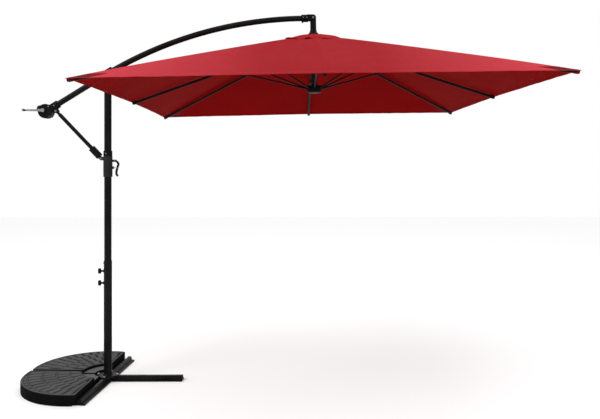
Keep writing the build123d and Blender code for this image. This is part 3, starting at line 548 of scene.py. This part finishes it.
CORNER_TIP = HALF * math.sqrt(2) - 0.016
MIDDLE_TIP = HALF - EDGE_DIP - 0.014
RIB_BELOW_CLOTH = 0.013
CAP_PROFILE = [
    (-0.026, 0.0094), (-0.0252, 0.0101), (-0.016, 0.0104), (-0.006, 0.0107), (0.001, 0.0105),
    (0.0045, 0.0092), (0.0068, 0.0066), (0.0078, 0.0028),
]
for number in range(1, PANEL_COUNT + 1):
    corner = number % 2 == 0
    tip = CORNER_TIP if corner else MIDDLE_TIP
    fall = FALL / math.sqrt(2) if corner else FALL
    drop = HUB_Z - (APEX - tip * fall - RIB_BELOW_CLOTH)
    slope = math.atan2(drop, tip - PIVOT_R)
    place = HANG @ Matrix.Rotation(math.radians(45 * number - 45), 4, "Z")
    place = place @ Matrix.Translation((tip, 0, HUB_Z - drop)) @ Matrix.Rotation(slope, 4, "Y")
    finish = POCKET_END if corner else BLACK_PLASTIC
    revolved(f"rib_end_cap_{number}", CAP_PROFILE, place, finish, f"rib_{number}")


# ---- paving relief on the weights ----------------------------------------------------------
PLATE_TURN = math.radians(-3.9)
PLATE_R = 0.408
PLATE_CENTRE = (-0.110, 0.058)
PLATE_EDGE = {-1: -0.033, 1: -0.024}
SEAM_Y = -0.020
SEAM_HALF = 0.013
PLATE_TOP = 0.067
RECESS_R = 0.163
PAVING_INSET = 0.017
RIM_OUTER = 0.0045
RIM_INNER = 0.0145
RIM_CLEAR = RECESS_R + 0.010
COURSES = (
    (0.176, 0.236, 22), (0.247, 0.318, 34), (0.329, 0.405, 46), (0.416, 0.492, 52), (0.503, 0.560, 58),
)


def plate_span(side, origin, direction, inset):
    """Part of a ray that lies over one weight's outline, moved inward by inset."""
    ox, oy = origin
    ux, uy = direction
    low, high = 0.0, 9.0
    walls = (
        (1.0, 0.0, PLATE_EDGE[side] - inset),
        (0.0, -side, -(side * SEAM_Y + SEAM_HALF + inset)),
    )
    for nx, ny, limit in walls:
        speed = nx * ux + ny * uy
        room = limit - nx * ox - ny * oy
        if abs(speed) < 1e-9:
            if room < 0:
                return None
        elif speed > 0:
            high = min(high, room / speed)
        else:
            low = max(low, room / speed)
    cx, cy = PLATE_CENTRE[0] - ox, SEAM_Y + side * PLATE_CENTRE[1] - oy
    along = cx * ux + cy * uy
    off = (PLATE_R - inset) ** 2 - (cx * cx + cy * cy - along * along)
    if off <= 0:
        return None
    low = max(low, along - math.sqrt(off))
    high = min(high, along + math.sqrt(off))
    return (low, high) if high > low else None


def relief_strip(verts, faces, inner, outer, base, top, bevel, closed=False):
    """Raised strip between two rows of points, with sloping sides."""
    count = len(inner)
    start = len(verts)
    for (ax, ay), (bx, by) in zip(inner, outer):
        length = math.hypot(bx - ax, by - ay)
        ux, uy = (bx - ax) / length, (by - ay) / length
        for x, y, z in ((ax, ay, base), (ax + ux * bevel, ay + uy * bevel, top),
                        (bx - ux * bevel, by - uy * bevel, top), (bx, by, base)):
            verts.append((x, y, z))
    if not closed:
        for end, step in ((0, 1), (count - 1, -1)):
            for lane in (1, 2):
                x0, y0, z0 = verts[start + 4 * end + lane]
                x1, y1, _ = verts[start + 4 * (end + step) + lane]
                length = math.hypot(x1 - x0, y1 - y0) or 1.0
                moved_x = x0 + (x1 - x0) / length * bevel
                moved_y = y0 + (y1 - y0) / length * bevel
                verts[start + 4 * end + lane] = (moved_x, moved_y, z0)
    loops = count if closed else count - 1
    for i in range(loops):
        a = start + 4 * i
        b = start + 4 * ((i + 1) % count)
        for lane in range(3):
            faces.append((a + lane, b + lane, b + lane + 1, a + lane + 1))
        faces.append((a, a + 3, b + 3, b))
    if not closed:
        for a in (start, start + 4 * (count - 1)):
            faces.append((a, a + 1, a + 2, a + 3))


def paving(name, side):
    """Fan of cast bricks round the mast, with rings between courses and a plain rim, on one weight."""
    verts = []
    faces = []
    base = PLATE_TOP - 0.0004
    for course, (r0, r1, bricks) in enumerate(COURSES):
        for brick in range(bricks):
            pitch = 2 * math.pi / bricks
            middle = (brick + 0.5 * (course % 2)) * pitch
            width = pitch * (0.66 + 0.10 * random.random())
            top = PLATE_TOP + 0.0026 + 0.0008 * random.random()
            inner, outer = [], []
            for k in range(6):
                angle = middle + width * (k / 5 - 0.5)
                direction = (math.cos(angle), math.sin(angle))
                span = plate_span(side, (0, 0), direction, PAVING_INSET)
                if span is None:
                    continue
                low, high = max(span[0], r0), min(span[1], r1)
                if high - low < 0.010:
                    continue
                inner.append((low * direction[0], low * direction[1]))
                outer.append((high * direction[0], high * direction[1]))
            if len(inner) >= 3:
                relief_strip(verts, faces, inner, outer, base, top, 0.0035)
        low_r, high_r = r0 - 0.0085, r0 - 0.0012
        run_inner, run_outer = [], []
        for k in range(361):
            angle = math.radians(k)
            direction = (math.cos(angle), math.sin(angle))
            span = plate_span(side, (0, 0), direction, PAVING_INSET)
            fits = span is not None and span[0] < low_r and span[1] > high_r
            if fits:
                run_inner.append((low_r * direction[0], low_r * direction[1]))
                run_outer.append((high_r * direction[0], high_r * direction[1]))
            if (not fits or k == 360) and run_inner:
                if len(run_inner) >= 3:
                    relief_strip(verts, faces, run_inner, run_outer, base, PLATE_TOP + 0.0022, 0.0018)
                run_inner, run_outer = [], []
    centre = (-0.26, SEAM_Y + side * 0.19)
    run_inner, run_outer = [], []
    samples = 240
    first = 0
    for k in range(samples):
        angle = 2 * math.pi * k / samples
        direction = (math.cos(angle), math.sin(angle))
        high = plate_span(side, centre, direction, RIM_OUTER)[1]
        edge = (centre[0] + high * direction[0], centre[1] + high * direction[1])
        if math.hypot(*edge) < RIM_CLEAR:
            first = k
            break
    for step in range(samples + 1):
        angle = 2 * math.pi * (first + step) / samples
        direction = (math.cos(angle), math.sin(angle))
        high = plate_span(side, centre, direction, RIM_OUTER)[1]
        low = plate_span(side, centre, direction, RIM_INNER)[1]
        ends = [(centre[0] + r * direction[0], centre[1] + r * direction[1]) for r in (low, high)]
        clear = min(math.hypot(*end) for end in ends) > RIM_CLEAR
        if clear:
            run_inner.append(ends[0])
            run_outer.append(ends[1])
        if (not clear or step == samples) and run_inner:
            if len(run_inner) >= 3:
                relief_strip(verts, faces, run_inner, run_outer, base, PLATE_TOP + 0.0024, 0.0020)
            run_inner, run_outer = [], []
    turn = Matrix.Rotation(PLATE_TURN, 4, "Z")
    mesh = bpy.data.meshes.new(name)
    mesh.from_pydata([turn @ Vector(v) for v in verts], [], faces)
    mesh.materials.append(STONE)
    finish_mesh(mesh)
    obj = bpy.data.objects.new(name, mesh)
    SCENE.collection.objects.link(obj)
    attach(obj, "base")
    return obj


paving("paving_front", -1)
paving("paving_back", 1)
for side in ("front", "back"):
    plate = frame["nodes"][f"weight_plate_{side}"]
    plate.data.materials.clear()
    for material in (STONE_SIDE_SHADE, STONE_GROOVE_SHADE, STONE_FLOOR):
        plate.data.materials.append(material)
    # Faces not facing up get the painted shade of the sides; upward faces at the plate's top get the painted
    # groove shadow, the lower ones the recess colour.
    for polygon in plate.data.polygons:
        height = (plate.matrix_world @ polygon.center).z
        facing = polygon.normal.z > 0.6
        polygon.material_index = 0 if not facing else (1 if height > 0.060 else 2)


# ---- finishes of the CAD pieces ------------------------------------------------------------
for name, material in NODE_FINISH.items():
    cad = frame["nodes"][name]
    for place in range(max(len(cad.material_slots), 1)):
        if place < len(cad.material_slots):
            cad.material_slots[place].material = material
        else:
            cad.data.materials.append(material)


# ---- camera, lights and floor --------------------------------------------------------------
SCENE.view_settings.view_transform = "Standard"
SCENE.world = SCENE.world or bpy.data.worlds.new("studio")
SCENE.world.use_nodes = True
sky = SCENE.world.node_tree.nodes.get("Background")
sky.inputs["Color"].default_value = (1.0, 1.0, 1.0, 1)
sky.inputs["Strength"].default_value = 1.0

camera = bpy.data.cameras.new("camera")
camera.lens = 38.97
camera.sensor_width = 36.0
camera.shift_y = -0.0715
camera.clip_end = 100
eye = bpy.data.objects.new("camera", camera)
eye.location = (1.205, -4.388, 1.435)
eye.rotation_euler = (math.radians(90), 0, math.radians(-1.12))
SCENE.collection.objects.link(eye)
SCENE.camera = eye


def area_light(name, place, target, size, power):
    """Rectangular lamp that faces a target."""
    lamp = bpy.data.lights.new(name, "AREA")
    lamp.shape = "RECTANGLE"
    lamp.size, lamp.size_y = size
    lamp.energy = power
    obj = bpy.data.objects.new(name, lamp)
    obj.location = place
    obj.rotation_euler = (Vector(target) - Vector(place)).to_track_quat("-Z", "Y").to_euler()
    SCENE.collection.objects.link(obj)


area_light("key", (-3.6, -3.4, 5.2), (0.9, 0, 1.2), (2.6, 2.6), 170)
area_light("fill", (5.6, -3.8, 3.6), (1.2, 0, 1.4), (3.2, 3.2), 110)
area_light("top", (1.4, 0.6, 6.0), (1.4, 0, 0), (4.0, 4.0), 40)

FLOOR_HALF = 14.0
floor_corners = [(x * FLOOR_HALF, y * FLOOR_HALF, 0) for x, y in ((-1, -1), (1, -1), (1, 1), (-1, 1))]
floor_mesh = bpy.data.meshes.new("floor")
floor_mesh.from_pydata(floor_corners, [], [(0, 1, 2, 3)])
floor = bpy.data.objects.new("floor", floor_mesh)
SCENE.collection.objects.link(floor)
floor_material, _, shader = new_material("pale_floor")
shader.inputs["Base Color"].default_value = (0.95, 0.95, 0.95, 1)
shader.inputs["Roughness"].default_value = 0.9
floor_mesh.materials.append(floor_material)
